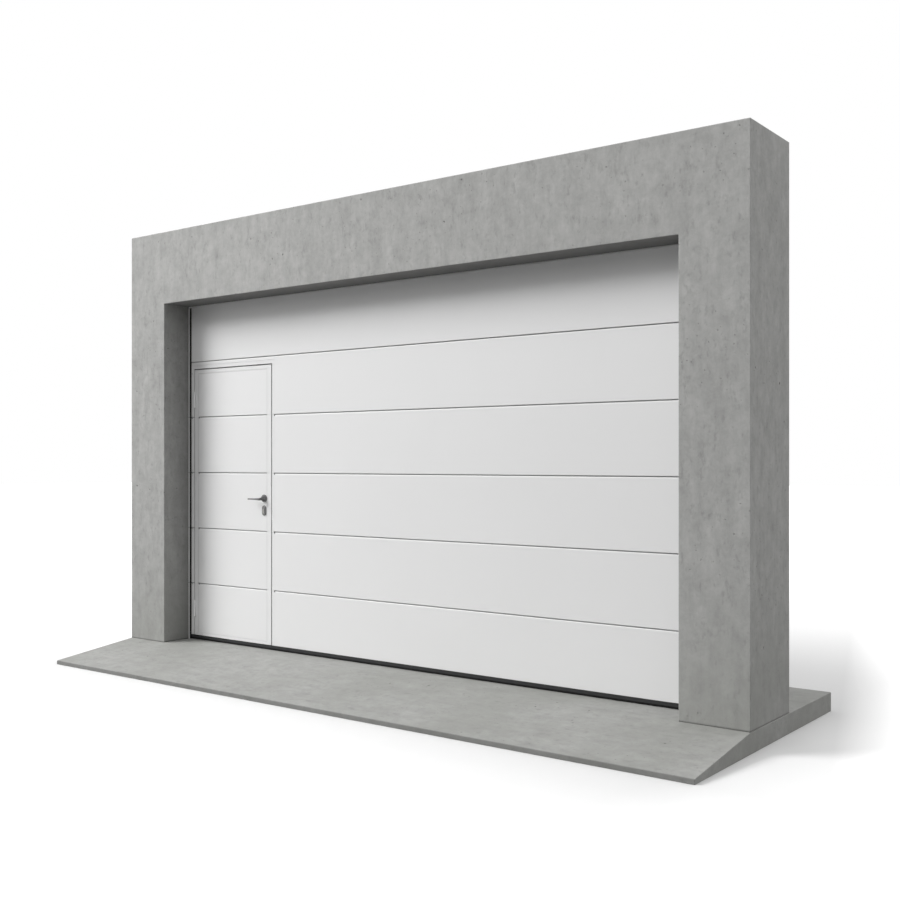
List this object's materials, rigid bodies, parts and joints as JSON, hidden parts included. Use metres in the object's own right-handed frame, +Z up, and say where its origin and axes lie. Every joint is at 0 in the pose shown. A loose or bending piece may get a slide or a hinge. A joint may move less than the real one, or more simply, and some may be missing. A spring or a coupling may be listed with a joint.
{
  "type": "sectional garage door with wicket door",
  "caption": "Sectional garage door in a concrete portal on a ramped base slab, with a hinged wicket door and lever handle.",
  "frame": {"origin": "under the middle of the base slab, on the floor", "axes": "+Z up, the outer side of the door faces -Y, +X to the right seen from outside"},
  "size_m": [4.89, 1.845, 3.14],
  "materials": {
    "concrete": "fair-faced cast concrete, matt",
    "slab_concrete": "trowelled concrete, matt",
    "panel_paint": "smooth white coil coating, satin",
    "profile_paint": "white powder coating, satin",
    "rubber": "black extruded rubber, matt",
    "black_rail": "black anodised",
    "galvanised": "hot-dip galvanised",
    "bare_steel": "drawn bright steel",
    "stainless": "brushed stainless steel",
    "nickel": "nickel-plated brass",
    "nylon": "natural nylon"
  },
  "bodies": {
    "portal": {"left_pillar": "concrete", "right_pillar": "concrete", "lintel": "concrete", "ramp_slab": "slab_concrete", "section_1": "panel_paint", "section_2": "panel_paint", "section_3": "panel_paint", "section_4": "panel_paint", "section_5": "panel_paint", "section_6": "panel_paint", "wicket_frame_hinge_side": "profile_paint", "wicket_frame_lock_side": "profile_paint", "wicket_frame_head": "profile_paint", "hinge_frame_leaves": "profile_paint", "door_frame_trim": "profile_paint", "bottom_seal": "rubber", "top_seal": "rubber", "left_side_seal": "rubber", "right_side_seal": "rubber", "wicket_frame_gaskets": "rubber", "bottom_rail": "black_rail", "left_angle_frame": "galvanised", "right_angle_frame": "galvanised", "left_track": "galvanised", "right_track": "galvanised", "end_caps": "galvanised", "roller_brackets": "galvanised", "section_hinges": "galvanised", "roller_stems": "bare_steel", "hinge_pins": "bare_steel", "strike_plate": "stainless", "roller_wheels": "nylon"},
    "wicket_leaf": {"wicket_hinge_stile": "profile_paint", "wicket_lock_stile": "profile_paint", "wicket_top_rail": "profile_paint", "wicket_bottom_rail": "profile_paint", "wicket_panel_1": "panel_paint", "wicket_panel_2": "panel_paint", "wicket_panel_3": "panel_paint", "wicket_panel_4": "panel_paint", "wicket_panel_5": "panel_paint", "hinge_door_leaves": "profile_paint", "roses": "stainless", "escutcheons": "stainless", "lock_cylinder": "nickel", "lock_forend": "stainless", "wicket_leaf_gasket": "rubber", "wicket_section_hinges": "galvanised"},
    "lever": {"outer_lever": "stainless", "inner_lever": "stainless", "lever_spindle": "bare_steel"}
  },
  "joints": [
    {"name": "wicket_hinge", "type": "hinge", "parent": "portal", "child": "wicket_leaf", "pos_m": [-1.996, -0.0485, 1.11], "axis": [0, 0, -1], "range_deg": [0, 90]},
    {"name": "lever_turn", "type": "hinge", "parent": "wicket_leaf", "child": "lever", "pos_m": [-1.253, -0.0395, 1.183], "axis": [0, -1, 0], "range_deg": [0, 40], "stiffness_Nm_per_rad": 1.5, "springref_deg": -20.05}
  ]
}
